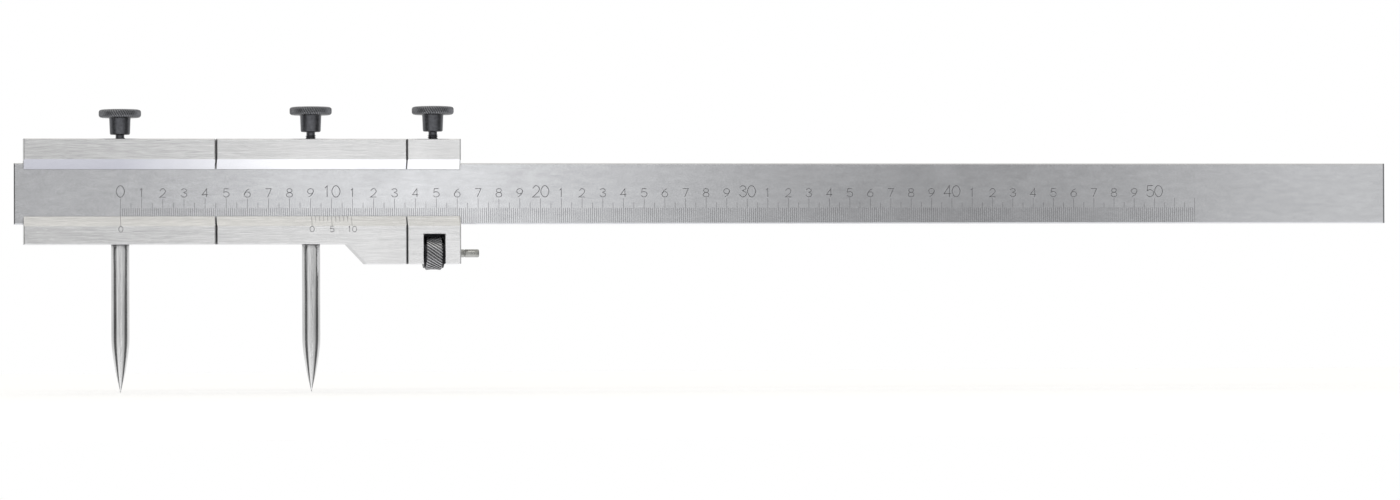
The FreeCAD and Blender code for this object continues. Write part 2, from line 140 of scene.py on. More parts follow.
view = {
    "lens": 150,
    "place": (-0.1355, -2.7703, 0.03),
    "yaw": math.radians(8.474),
    "pitch": math.radians(0.756),
    "roll": math.radians(0.218),
    "sensor": 36,
}


def makeCamera():
    bpy.ops.object.camera_add(location=view["place"])
    camera = named("camera")
    camera.rotation_euler = (math.pi / 2 + view["pitch"], view["roll"], -view["yaw"])
    camera.data.lens = view["lens"]
    camera.data.sensor_width = view["sensor"]
    bpy.context.scene.camera = camera


makeCamera()


# Stage: pale floor, a soft room of lighter and darker walls, and soft lamps

stage = {
    "floorSize": 2.4,
    "floorMiddle": (0.28, 0, 0),
    "floorColour": (0.9, 0.9, 0.9, 1),
    "floorGlow": 0.27,  # share of the floor's white that no shadow takes away
    "ceiling": (0.95, 0.93, 0.88, 1),
    "ground": (1.28, 1.28, 1.3, 1),
    # how high a direction points where the walls begin to fade and where they are gone
    "ceilingFrom": (0.6, 0.88),
    "groundFrom": (-0.52, -0.72),
    # brightness of the walls, by the bearing in degrees from the front towards the right
    "walls": [
        (-180, 0.85), (-108, 0.85), (-99, 0.6), (-90, 0.1), (-59, 0.1), (-49, 0.75), (-38, 0.95),
        (-15, 0.85), (-3, 0.72), (0, 0.66), (1.6, 0.68), (2.6, 0.38), (3.6, 0.84), (4.7, 0.74),
        (5.5, 2.5), (6.2, 0.82), (7.2, 0.92), (8.6, 0.71), (9.7, 0.45), (11.3, 0.33), (12.4, 0.24),
        (13.2, 0.7), (14.4, 1.2), (17, 0.9), (25, 0.65), (38, 0.6), (48, 0.55), (58, 0.1), (89, 0.1),
        (98, 0.6), (108, 0.85), (180, 0.85),
    ],
    "wallStrength": 2,  # the ramp holds each brightness divided by this, and the light gives it back
    "lampAim": (0.2, 0, 0.09),
}
lamps = {
    # name: place, size along and across, watts
    "keyLamp": ((0.14, -1.3, 1.5), 0.9, 0.6, 1.6),
    "leftLamp": ((-1.6, -0.8, 1.0), 0.8, 0.8, 0.8),
    "rightLamp": ((1.8, -1.2, 0.9), 0.8, 0.8, 0.8),
    "backLamp": ((0.3, 1.6, 1.3), 1.2, 0.8, 1.0),
}


def makeFloor():
    clearSelection()
    bpy.ops.mesh.primitive_plane_add(size=stage["floorSize"], location=stage["floorMiddle"])
    floor = named("floor")
    settle(floor)
    material = bpy.data.materials.new("paleFloor")
    material.use_nodes = True
    tree = material.node_tree
    tree.nodes.clear()
    matte = addNode(tree, "ShaderNodeBsdfDiffuse", {"Color": stage["floorColour"]})
    rays = addNode(tree, "ShaderNodeLightPath")
    glow = addNode(tree, "ShaderNodeEmission", {"Strength": stage["floorGlow"]})
    lit = addNode(tree, "ShaderNodeAddShader", {0: matte.outputs[0], 1: glow.outputs[0]})
    # only the camera sees the glow
    seen = {0: rays.outputs["Is Camera Ray"], 1: matte.outputs[0], 2: lit.outputs[0]}
    solid = addNode(tree, "ShaderNodeMixShader", seen)
    # the steel shows the pale ground of the room there instead of the floor
    clear = addNode(tree, "ShaderNodeBsdfTransparent")
    ends = {0: rays.outputs["Is Glossy Ray"], 1: solid.outputs[0], 2: clear.outputs[0]}
    mix = addNode(tree, "ShaderNodeMixShader", ends)
    addNode(tree, "ShaderNodeOutputMaterial", {0: mix.outputs[0]})
    dress(floor, material)


def wallColour(bright):
    share = bright / stage["wallStrength"]
    return (share, share, share, 1)


def makeRoom():
    world = bpy.data.worlds.new("room")
    bpy.context.scene.world = world
    world.use_nodes = True
    tree = world.node_tree
    tree.nodes.clear()
    way = addNode(tree, "ShaderNodeTexCoord")
    parts = addNode(tree, "ShaderNodeSeparateXYZ", {0: way.outputs["Generated"]})
    toFront = {0: parts.outputs["Y"], 1: -1.0}
    front = addNode(tree, "ShaderNodeMath", toFront, operation="MULTIPLY")
    sides = {0: parts.outputs["X"], 1: front.outputs[0]}
    bearing = addNode(tree, "ShaderNodeMath", sides, operation="ARCTAN2")
    place = mapRange(tree, bearing.outputs[0], -math.pi, math.pi)
    walls = addNode(tree, "ShaderNodeValToRGB", {"Fac": place})
    stops = walls.color_ramp.elements
    first, *between, last = stage["walls"]
    stops[0].color = wallColour(first[1])
    stops[1].color = wallColour(last[1])
    for degrees, bright in between:
        stops.new(degrees / 360 + 0.5).color = wallColour(bright)
    light = {"Color": walls.outputs["Color"], "Strength": stage["wallStrength"]}
    wallLight = addNode(tree, "ShaderNodeBackground", light)
    ceiling = addNode(tree, "ShaderNodeBackground", {"Color": stage["ceiling"], "Strength": 1})
    ground = addNode(tree, "ShaderNodeBackground", {"Color": stage["ground"], "Strength": 1})
    high = mapRange(tree, parts.outputs["Z"], *stage["ceilingFrom"])
    low = mapRange(tree, parts.outputs["Z"], *stage["groundFrom"])
    above = {0: high, 1: wallLight.outputs[0], 2: ceiling.outputs[0]}
    upper = addNode(tree, "ShaderNodeMixShader", above)
    below = {0: low, 1: upper.outputs[0], 2: ground.outputs[0]}
    room = addNode(tree, "ShaderNodeMixShader", below)
    rays = addNode(tree, "ShaderNodeLightPath")
    white = addNode(tree, "ShaderNodeBackground", {"Color": (1, 1, 1, 1), "Strength": 1})
    seen = {0: rays.outputs["Is Camera Ray"], 1: room.outputs[0], 2: white.outputs[0]}
    mix = addNode(tree, "ShaderNodeMixShader", seen)
    addNode(tree, "ShaderNodeOutputWorld", {0: mix.outputs[0]})


def makeLamps():
    aim = Vector(stage["lampAim"])
    for name, (place, along, across, watts) in lamps.items():
        bpy.ops.object.light_add(type="AREA", location=place)
        lamp = named(name)
        lamp.rotation_euler = (Vector(place) - aim).to_track_quat("Z", "Y").to_euler()
        lamp.data.shape = "RECTANGLE"
        lamp.data.size = along
        lamp.data.size_y = across
        lamp.data.energy = watts


makeFloor()
makeRoom()
makeLamps()
print("trammel: camera, floor and lamps")


# Surface effects that several materials share

def makeGrain():
    # fine and broad streaks, drawn out along whichever axis has the small stretch
    group, start, end = newGroup(
        "grain",
        [("Stretch", "NodeSocketVector", (60, 4000, 4000)), ("Detail", "NodeSocketFloat", 3)],
        [("Fine", "NodeSocketFloat"), ("Broad", "NodeSocketFloat")],
    )
    place = addNode(group, "ShaderNodeTexCoord")
    along = {0: place.outputs["Object"], 1: start.outputs["Stretch"]}
    drawn = addNode(group, "ShaderNodeVectorMath", along, operation="MULTIPLY")
    look = {"Vector": drawn.outputs[0], "Scale": 1, "Detail": start.outputs["Detail"], "Roughness": 0.6}
    fine = addNode(group, "ShaderNodeTexNoise", look)
    # the broad streaks are six times as wide
    widened = {0: drawn.outputs[0], "Scale": 0.17}
    wide = addNode(group, "ShaderNodeVectorMath", widened, operation="SCALE")
    broad = addNode(group, "ShaderNodeTexNoise", {"Vector": wide.outputs[0], "Scale": 1, "Detail": 2})
    group.links.new(fine.outputs["Fac"], end.inputs["Fine"])
    group.links.new(broad.outputs["Fac"], end.inputs["Broad"])
    return group


def makeEdgeWear():
    # a mask of the outer few tenths of a millimetre beside every sharp edge
    group, start, end = newGroup(
        "edgeWear",
        [("Radius", "NodeSocketFloat", 0.0003), ("Amount", "NodeSocketFloat", 1)],
        [("Mask", "NodeSocketFloat")],
    )
    rounded = addNode(group, "ShaderNodeBevel", {"Radius": start.outputs["Radius"]}, samples=4)
    true = addNode(group, "ShaderNodeNewGeometry")
    pair = {0: rounded.outputs[0], 1: true.outputs["Normal"]}
    agree = addNode(group, "ShaderNodeVectorMath", pair, operation="DOT_PRODUCT")
    # the wear begins where the two normals are 8 degrees apart and is full at 37
    mask = mapRange(group, agree.outputs["Value"], 0.99, 0.8, 0, start.outputs["Amount"])
    group.links.new(mask, end.inputs["Mask"])
    return group


def makeHandling():
    # soft patches, as hands and oil leave them
    group, start, end = newGroup(
        "handling",
        [("Size", "NodeSocketFloat", 45), ("Amount", "NodeSocketFloat", 1)],
        [("Patches", "NodeSocketFloat")],
    )
    place = addNode(group, "ShaderNodeTexCoord")
    look = {"Vector": place.outputs["Object"], "Detail": 4, "Distortion": 0.4}
    look["Scale"] = start.outputs["Size"]
    cloud = addNode(group, "ShaderNodeTexNoise", look)
    mask = mapRange(group, cloud.outputs["Fac"], 0.35, 0.7, 0, start.outputs["Amount"])
    group.links.new(mask, end.inputs["Patches"])
    return group


def makeCrevice():
    # a mask of narrow gaps and inner corners, where the materials paint shade, and where oil and dust stay
    group, start, end = newGroup(
        "creviceShade",
        [("Reach", "NodeSocketFloat", 0.002), ("Amount", "NodeSocketFloat", 1)],
        [("Mask", "NodeSocketFloat")],
    )
    reach = {"Distance": start.outputs["Reach"]}
    openness = addNode(group, "ShaderNodeAmbientOcclusion", reach, samples=6)
    # from 30 to 70 percent of the directions are blocked
    mask = mapRange(group, openness.outputs["AO"], 0.7, 0.3, 0, start.outputs["Amount"])
    group.links.new(mask, end.inputs["Mask"])
    return group


grain = makeGrain()
edgeWear = makeEdgeWear()
handling = makeHandling()
creviceShade = makeCrevice()


# Bright metals: ground and polished steels, and the bronze and brass inside the blocks

steels = {
    # stretch: how fine the grain is along X, Y and Z, per metre; cloud: share of its broad part;
    # worn: colour of the edges; gapShadeAndOil: how much painted shade, with oil, the gaps get
    "beamSteel": {
        "dark": (0.515, 0.52, 0.535), "light": (0.65, 0.656, 0.673), "worn": (0.66, 0.665, 0.68),
        "stretch": (1000, 3000, 3000), "cloud": 0.35, "roughness": (0.16, 0.21), "relief": 0.05,
        "tangent": (1, 0, 0), "anisotropy": 0.9, "turn": 0.25, "gapShadeAndOil": 0.9,
        # a band of painted shade at the beam's right end
        "endShadeBand": {"middle": 0.61455, "half": 0.0004, "colour": (0.2, 0.2, 0.21, 1)},
    },
    "headSteel": {
        "dark": (0.57, 0.57, 0.574), "light": (0.81, 0.81, 0.81), "worn": (0.62, 0.62, 0.62),
        "stretch": (150, 4200, 4200), "cloud": 0.2, "roughness": (0.18, 0.24), "relief": 0.05,
        "tangent": (1, 0, 0), "anisotropy": 0.85, "turn": 0.25, "gapShadeAndOil": 0.85,
        # a band of painted shade at the carriage's right end
        "endShadeBand": {"middle": 0.16105, "half": 0.0003, "colour": (0.52, 0.52, 0.52, 1)},
        # the ground upper bevel, painted brighter as a reflection of the floor, dimmer and bluish at the
        # left end
        "groundEdgeSheen": {
            "facing": (0, -0.798, -0.602), "agree": (0.993, 0.998), "sheenFade": (0.0, 0.08),
            "blue": (0.5, 0.505, 0.55, 1), "bright": (0.9, 0.905, 0.92, 1),
        },
        # painted shade in the carriage's window
        "window": {
            "middle": (carriageX, 0, 0.0668), "half": (0.00505, 0.0066, 0.00805),
            "colour": (0.022, 0.022, 0.024, 1), "fade": 0.0001,
        },
    },
    "pointSteel": {
        "dark": (0.5, 0.5, 0.505), "light": (0.86, 0.86, 0.86), "worn": (0.8, 0.8, 0.8),
        "stretch": (2200, 2200, 70), "cloud": 0.3, "roughness": (0.15, 0.24), "relief": 0.02,
        "tangent": (0, 0, 1), "anisotropy": 0.5, "turn": 0, "gapShadeAndOil": 0.9,
        # the cone is honed, and painted brighter towards the tip as a highlight
        "honedTipSheen": {"bright": 0.004, "plain": 0.028, "colour": (0.97, 0.97, 0.97, 1)},
    },
    "spindleSteel": {
        "dark": (0.25, 0.25, 0.235), "light": (0.45, 0.45, 0.43), "worn": (0.3, 0.3, 0.29),
        "stretch": (3000, 200, 1500), "cloud": 0.45, "roughness": (0.1, 0.16), "relief": 0.05,
        "tangent": (1, 0, 0), "anisotropy": 0.3, "turn": 0, "gapShadeAndOil": 0.95,
    },
    "gibBronze": {
        "dark": (0.46, 0.29, 0.13), "light": (0.62, 0.42, 0.2), "worn": (0.78, 0.57, 0.32),
        "stretch": (160, 2200, 2200), "cloud": 0.45, "roughness": (0.26, 0.4), "relief": 0.08,
        "tangent": (1, 0, 0), "anisotropy": 0.4, "turn": 0, "gapShadeAndOil": 0.9,
    },
    "padBrass": {
        "dark": (0.58, 0.43, 0.18), "light": (0.74, 0.58, 0.29), "worn": (0.86, 0.72, 0.42),
        "stretch": (1800, 1800, 400), "cloud": 0.45, "roughness": (0.22, 0.34), "relief": 0.06,
        "tangent": (0, 0, 1), "anisotropy": 0.3, "turn": 0, "gapShadeAndOil": 0.9,
    },
}
sharedBright = {
    # what the bright metals share
    "edgeWear": 0.5,
    "roundedEdge": 0.00012,
    "grainHeight": 0.0001,
    # the next colour is painted shade, darkening gaps and inner corners
    "gapShadeColour": (0.06, 0.06, 0.063, 1),
    "gapMetallic": -0.3,  # the painted shade in the gaps, with their oil and dust, takes this off the metallic value
    "gapRoughness": 0.4,
    "oilRoughness": 0.04,
}
middling = (0.3, 0.7)  # between these lies most of a noise texture


def mixColour(tree, factor, first, second):
    inputs = {0: factor, 6: first, 7: second}
    return addNode(tree, "ShaderNodeMix", inputs, data_type="RGBA").outputs[2]


def multiplyAdd(tree, value, times, plus):
    terms = {0: value, 1: times, 2: plus}
    return addNode(tree, "ShaderNodeMath", terms, operation="MULTIPLY_ADD").outputs[0]


def placeGroup(tree, group, **values):
    node = addNode(tree, "ShaderNodeGroup", node_tree=group)
    for label, value in values.items():
        node.inputs[label].default_value = value
    return node


def newMaterial(name):
    material = bpy.data.materials.new(name)
    material.use_nodes = True
    return material, material.node_tree, material.node_tree.nodes["Principled BSDF"]


def makeSteel(name):
    look = steels[name]
    material, tree, shader = newMaterial(name)
    shader.inputs["Anisotropic"].default_value = look["anisotropy"]
    shader.inputs["Anisotropic Rotation"].default_value = look["turn"]
    tangent = addNode(tree, "ShaderNodeCombineXYZ", dict(enumerate(look["tangent"])))
    tree.links.new(tangent.outputs[0], shader.inputs["Tangent"])
    streaks = placeGroup(tree, grain, Stretch=look["stretch"])
    wear = placeGroup(tree, edgeWear, Amount=sharedBright["edgeWear"])
    hands = placeGroup(tree, handling)
    gaps = placeGroup(tree, creviceShade, Amount=look["gapShadeAndOil"])
    both = {0: look["cloud"], 2: streaks.outputs["Fine"], 3: streaks.outputs["Broad"]}
    blended = addNode(tree, "ShaderNodeMix", both)
    spread = mapRange(tree, blended.outputs[0], *middling)
    colour = mixColour(tree, spread, (*look["dark"], 1), (*look["light"], 1))
    if "groundEdgeSheen" in look:
        colour = addGroundEdge(tree, colour, look["groundEdgeSheen"])
    colour = mixColour(tree, wear.outputs["Mask"], colour, (*look["worn"], 1))
    if "honedTipSheen" in look:
        colour = addHonedTip(tree, colour, look["honedTipSheen"])
    if "endShadeBand" in look:
        colour = addBand(tree, colour, look["endShadeBand"])
    if "window" in look:
        colour = addWindow(tree, colour, look["window"])
    # painted shade: the gaps and inner corners are darkened
    colour = mixColour(tree, gaps.outputs["Mask"], colour, sharedBright["gapShadeColour"])
    tree.links.new(colour, shader.inputs["Base Color"])
    bare = multiplyAdd(tree, gaps.outputs["Mask"], sharedBright["gapMetallic"], 1)
    tree.links.new(bare, shader.inputs["Metallic"])
    rough = mapRange(tree, streaks.outputs["Fine"], *middling, *look["roughness"])
    rough = multiplyAdd(tree, hands.outputs["Patches"], sharedBright["oilRoughness"], rough)
    rough = multiplyAdd(tree, gaps.outputs["Mask"], sharedBright["gapRoughness"], rough)
    tree.links.new(rough, shader.inputs["Roughness"])
    rounded = addNode(tree, "ShaderNodeBevel", {"Radius": sharedBright["roundedEdge"]}, samples=4)
    addRelief(tree, shader, streaks.outputs["Fine"], look["relief"], sharedBright["grainHeight"], rounded)
    return material


def addRelief(tree, shader, height, strength, distance, rounded=None):
    bumps = {"Strength": strength, "Distance": distance, "Height": height}
    if rounded:
        bumps["Normal"] = rounded.outputs[0]
    relief = addNode(tree, "ShaderNodeBump", bumps)
    tree.links.new(relief.outputs[0], shader.inputs["Normal"])


def addHonedTip(tree, colour, honedTipSheen):
    # painted highlight: lighter towards the tip
    place = addNode(tree, "ShaderNodeTexCoord")
    parts = addNode(tree, "ShaderNodeSeparateXYZ", {0: place.outputs["Object"]})
    share = mapRange(tree, parts.outputs["Z"], honedTipSheen["plain"], honedTipSheen["bright"])
    return mixColour(tree, share, colour, honedTipSheen["colour"])


def addBand(tree, colour, endShadeBand):
    # a narrow band of painted shade beside the right end, where the edge was broken by hand
    place = addNode(tree, "ShaderNodeTexCoord")
    parts = addNode(tree, "ShaderNodeSeparateXYZ", {0: place.outputs["Object"]})
    away = {0: parts.outputs["X"], 1: endShadeBand["middle"], 2: endShadeBand["half"]}
    near = addNode(tree, "ShaderNodeMath", away, operation="COMPARE")
    return mixColour(tree, near.outputs[0], colour, endShadeBand["colour"])


def addWindow(tree, colour, window):
    # painted shade on everything inside a box round the window
    place = addNode(tree, "ShaderNodeTexCoord")
    shift = {0: place.outputs["Object"], 1: window["middle"]}
    fromMiddle = addNode(tree, "ShaderNodeVectorMath", shift, operation="SUBTRACT")
    size = addNode(tree, "ShaderNodeVectorMath", {0: fromMiddle.outputs[0]}, operation="ABSOLUTE")
    spare = {0: window["half"], 1: size.outputs[0]}
    room = addNode(tree, "ShaderNodeVectorMath", spare, operation="SUBTRACT")
    parts = addNode(tree, "ShaderNodeSeparateXYZ", {0: room.outputs[0]})
    firstTwo = {0: parts.outputs["X"], 1: parts.outputs["Y"]}
    least = addNode(tree, "ShaderNodeMath", firstTwo, operation="MINIMUM")
    withThird = {0: least.outputs[0], 1: parts.outputs["Z"]}
    least = addNode(tree, "ShaderNodeMath", withThird, operation="MINIMUM")
    inside = mapRange(tree, least.outputs[0], 0, window["fade"])
    return mixColour(tree, inside, colour, window["colour"])


def addGroundEdge(tree, colour, edge):
    # the upper reading bevel is ground, and painted brighter as a reflection of the pale floor below it,
    # dimmer and bluish towards the left end
    place = addNode(tree, "ShaderNodeTexCoord")
    facing = {0: place.outputs["Normal"], 1: edge["facing"]}
    agree = addNode(tree, "ShaderNodeVectorMath", facing, operation="DOT_PRODUCT")
    mask = mapRange(tree, agree.outputs["Value"], *edge["agree"])
    parts = addNode(tree, "ShaderNodeSeparateXYZ", {0: place.outputs["Object"]})
    share = mapRange(tree, parts.outputs["X"], *edge["sheenFade"])
    ground = mixColour(tree, share, edge["blue"], edge["bright"])
    return mixColour(tree, mask, colour, ground)


materials = {name: makeSteel(name) for name in steels}


# Blackened steels: thumb screws, nut and set screws

darks = {
    # body colour, worn colour of the knurl's crests and of sharp edges, colour of the painted shade in the
    # roots, the gaps and on the nut's hub
    "blackSteel": {
        "body": (0.125, 0.128, 0.14), "crest": (0.38, 0.384, 0.395), "root": (0.012, 0.012, 0.014),
        "metallic": 0.85, "roughness": (0.3, 0.42), "wear": 0.45, "speckle": 900,
    },
    "nutSteel": {
        "body": (0.14, 0.14, 0.145), "crest": (0.7, 0.7, 0.71), "root": (0.02, 0.02, 0.022),
        "metallic": 0.95, "roughness": (0.2, 0.34), "wear": 0.7, "speckle": 1100,
    },
    "setScrewSteel": {
        "body": (0.06, 0.06, 0.065), "crest": (0.2, 0.2, 0.2), "root": (0.02, 0.02, 0.02),
        "metallic": 0.9, "roughness": (0.3, 0.4), "wear": 0.5, "speckle": 1500,
    },
}
sharedDark = {
    # what the blackened steels share
    "wearRadius": 0.00025,
    "patchSize": 120,
    "gapReach": 0.0012,
    "gapShadeAndOil": 0.8,
    "crestFrom": (0.8, 1),  # the crest attribute where the wear begins and where it is full
    "hubShadeFrom": (-0.05, -0.6),  # and where the surface is painted black as shade
    "leastRubbed": 0.55,
    "tones": (0.75, 1.25),  # the body colour's speckle, darkest and lightest
    "relief": (0.12, 0.00005),
}


def makeDarkSteel(name):
    look = darks[name]
    material, tree, shader = newMaterial(name)
    shader.inputs["Metallic"].default_value = look["metallic"]
    worn = (*look["crest"], 1)
    speckle = placeGroup(tree, grain, Stretch=(look["speckle"],) * 3)
    wear = placeGroup(tree, edgeWear, Radius=sharedDark["wearRadius"], Amount=look["wear"])
    hands = placeGroup(tree, handling, Size=sharedDark["patchSize"])
    gaps = placeGroup(tree, creviceShade, Reach=sharedDark["gapReach"], Amount=sharedDark["gapShadeAndOil"])
    crest = addNode(tree, "ShaderNodeAttribute", attribute_name="crest")
    # full wear on a crest, nothing in a root; below zero the surface is painted black as shade
    height = mapRange(tree, crest.outputs["Fac"], *sharedDark["crestFrom"])
    uneven = mapRange(tree, hands.outputs["Patches"], 0, 1, sharedDark["leastRubbed"], 1)
    rubbed = addNode(tree, "ShaderNodeMath", {0: height, 1: uneven}, operation="MULTIPLY")
    tone = mapRange(tree, speckle.outputs["Fine"], *middling)
    darker, lighter = ([value * share for value in look["body"]] for share in sharedDark["tones"])
    colour = mixColour(tree, tone, (*darker, 1), (*lighter, 1))
    colour = mixColour(tree, wear.outputs["Mask"], colour, worn)
    colour = mixColour(tree, rubbed.outputs[0], colour, worn)
    # painted shade: the nut's hub, and then the gaps and knurl roots, take the dark root colour
    hubShade = mapRange(tree, crest.outputs["Fac"], *sharedDark["hubShadeFrom"])
    colour = mixColour(tree, hubShade, colour, (*look["root"], 1))
    colour = mixColour(tree, gaps.outputs["Mask"], colour, (*look["root"], 1))
    tree.links.new(colour, shader.inputs["Base Color"])
    rough = mapRange(tree, speckle.outputs["Fine"], *middling, *look["roughness"])
    tree.links.new(rough, shader.inputs["Roughness"])
    addRelief(tree, shader, speckle.outputs["Fine"], *sharedDark["relief"])
    return material


for name in darks:
    materials[name] = makeDarkSteel(name)


# Black rubbed into the engraved marks, thinner in patches where hands and oil took it off

ink = {
    "fresh": (0.11, 0.11, 0.118), "rubbed": (0.25, 0.25, 0.26),
    "metallic": 0.25, "roughness": (0.38, 0.55), "relief": (0.1, 0.00003),
    "speckle": 1600, "thinFrom": (0.35, 0.75), "patchSize": 60, "patches": 0.5,
}


def makeInk():
    material, tree, shader = newMaterial("ink")
    shader.inputs["Metallic"].default_value = ink["metallic"]
    speckle = placeGroup(tree, grain, Stretch=(ink["speckle"],) * 3)
    hands = placeGroup(tree, handling, Size=ink["patchSize"], Amount=ink["patches"])
    tone = mapRange(tree, speckle.outputs["Fine"], *ink["thinFrom"])
    either = {0: tone, 1: hands.outputs["Patches"]}
    thin = addNode(tree, "ShaderNodeMath", either, operation="MAXIMUM")
    colour = mixColour(tree, thin.outputs[0], (*ink["fresh"], 1), (*ink["rubbed"], 1))
    tree.links.new(colour, shader.inputs["Base Color"])
    rough = mapRange(tree, speckle.outputs["Broad"], *middling, *ink["roughness"])
    tree.links.new(rough, shader.inputs["Roughness"])
    addRelief(tree, shader, speckle.outputs["Fine"], *ink["relief"])
    return material


materials["ink"] = makeInk()

finishOf = {
    # material slot in the record: finish
    "beam_steel": "beamSteel",
    "head_steel": "headSteel",
    "black_steel": "blackSteel",
    "point_steel": "pointSteel",
    "nut_steel": "nutSteel",
    "spindle_steel": "spindleSteel",
    "gib_bronze": "gibBronze",
    "pad_brass": "padBrass",
    "set_screw_steel": "setScrewSteel",
}
for row in frame["record"]["subparts"]:
    dress(frame["nodes"][row["node"]], materials[finishOf[row["material_slot"]]])
print("trammel: materials on the solids")


# Ways to shape turned, knurled and threaded pieces

def startRing(name, count, radius, height):
    clearSelection()
    bpy.ops.mesh.primitive_circle_add(vertices=count, radius=radius, location=(0, 0, height))
    piece = named(name)
    settle(piece)
    return piece


toothPoints = 4  # points of a ring for each tooth: the first half is its crest, the rest its root


def markCrests(piece):
    crest = piece.data.attributes.new("crest", "FLOAT", "POINT")
    for index in range(len(piece.data.vertices)):
        crest.data[index].value = 1 if index % toothPoints < toothPoints / 2 else 0


def keepCrests(piece, radius, inside):
    # the plain turned form inside this radius carries no crests but one even value
    crest = piece.data.attributes["crest"]
    for index, vertex in enumerate(piece.data.vertices):
        if math.hypot(vertex.co.x, vertex.co.y) < radius:
            crest.data[index].value = inside


def chosenPoints(mesh):
    mesh.verts.index_update()
    return [point.index for point in mesh.verts if point.select]


def choosePoints(piece, wanted):
    # selects the points whose numbers are wanted and nothing else
    mesh = bmesh.from_edit_mesh(piece.data)
    mesh.verts.ensure_lookup_table()
    for point in mesh.verts:
        point.select_set(False)
    for index in wanted:
        mesh.verts[index].select_set(True)
    mesh.select_flush_mode()
    bmesh.update_edit_mesh(piece.data)


def drawUp(piece, profile):
    # extrudes the ring through levels of (crest radius, root radius, height, turn)
    selectOnly(piece)
    bpy.ops.object.mode_set(mode="EDIT")
    bpy.ops.mesh.select_mode(type="VERT")
    bpy.ops.mesh.select_all(action="SELECT")
    crestNow, rootNow, heightNow = profile[0][:3]
    for crest, root, height, turn in profile[1:]:
        middle = (0, 0, height)
        bpy.ops.mesh.extrude_region_move(TRANSFORM_OT_translate={"value": (0, 0, height - heightNow)})
        if turn:
            bpy.ops.transform.rotate(value=-turn, orient_axis="Z", center_override=middle)
        factor = root / rootNow
        bpy.ops.transform.resize(value=(factor, factor, 1), center_override=middle)
        crestFactor = crest / crestNow / factor
        if abs(crestFactor - 1) > tiny:
            mesh = bmesh.from_edit_mesh(piece.data)
            level = chosenPoints(mesh)
            mark = mesh.verts.layers.float["crest"]
            mesh.verts.ensure_lookup_table()
            choosePoints(piece, [index for index in level if mesh.verts[index][mark] > 0.5])
            bpy.ops.transform.resize(value=(crestFactor, crestFactor, 1), center_override=middle)
            choosePoints(piece, level)
        crestNow, rootNow, heightNow = crest, root, height
    return piece


def plain(levels):
    # levels of a smooth turned form, given as (radius, height)
    return [(radius, radius, height, 0) for radius, height in levels]


def closeEnds():
    # caps the open rings, turns the faces outwards and leaves edit mode
    bpy.ops.mesh.select_mode(type="EDGE")
    bpy.ops.mesh.select_all(action="DESELECT")
    bpy.ops.mesh.select_non_manifold(extend=False)
    bpy.ops.mesh.edge_face_add()
    bpy.ops.mesh.select_all(action="SELECT")
    bpy.ops.mesh.normals_make_consistent(inside=False)
    bpy.ops.object.mode_set(mode="OBJECT")


def makeTurned(name, count, levels):
    piece = startRing(name, count, *levels[0])
    drawUp(piece, plain(levels))
    closeEnds()
    return piece


threadShape = {
    "flank": 0.38,  # share of the pitch that each of the two flanks takes
    "flat": 0.12,  # and each of the two flats
    "spare": 2,  # turns beyond each end, which the cuts take off
}


def makeThread(name, rod):
    # one pitch of the thread's outline, screwed up along Z and cut to length
    clearSelection()
    bpy.ops.mesh.primitive_plane_add(size=0.001)
    piece = named(name)
    bpy.ops.object.mode_set(mode="EDIT")
    bpy.ops.mesh.select_mode(type="VERT")
    bpy.ops.mesh.select_all(action="SELECT")
    bpy.ops.mesh.merge(type="CENTER")
    pitch = rod["pitch"]
    deep = rod["radius"] - rod["depth"]
    bpy.ops.transform.translate(value=(deep, 0, rod["low"] - threadShape["spare"] * pitch))
    depth = rod["depth"]
    flank, flat = threadShape["flank"], threadShape["flat"]
    for outwards, upwards in ((depth, flank), (0, flat), (-depth, flank), (0, flat)):
        step = (outwards, 0, upwards * pitch)
        bpy.ops.mesh.extrude_region_move(TRANSFORM_OT_translate={"value": step})
    bpy.ops.object.mode_set(mode="OBJECT")
    spiral = piece.modifiers.new("spiral", "SCREW")
    spiral.screw_offset = pitch
    turns = math.ceil((rod["high"] - rod["low"]) / pitch)
    spiral.iterations = turns + 2 * threadShape["spare"]
    spiral.steps = spiral.render_steps = rod["steps"]
    applyModifiers(piece)
    bpy.ops.object.mode_set(mode="EDIT")
    bpy.ops.mesh.select_all(action="SELECT")
    bpy.ops.mesh.remove_doubles(threshold=tiny)
    for cut, gone in ((rod["low"], {"clear_inner": True}), (rod["high"], {"clear_outer": True})):
        bpy.ops.mesh.select_all(action="SELECT")
        bpy.ops.mesh.bisect(plane_co=(0, 0, cut), plane_no=(0, 0, 1), threshold=1e-8, **gone)
    closeEnds()
    return piece


def copyAs(name, source, shift):
    # a copy with its own mesh, moved to its place
    selectOnly(source)
    bpy.ops.object.duplicate()
    twin = named(name)
    twin.location = shift
    settle(twin)
    return twin


# Thumb screws: a pattern is turned and knurled, and all three are copies of it

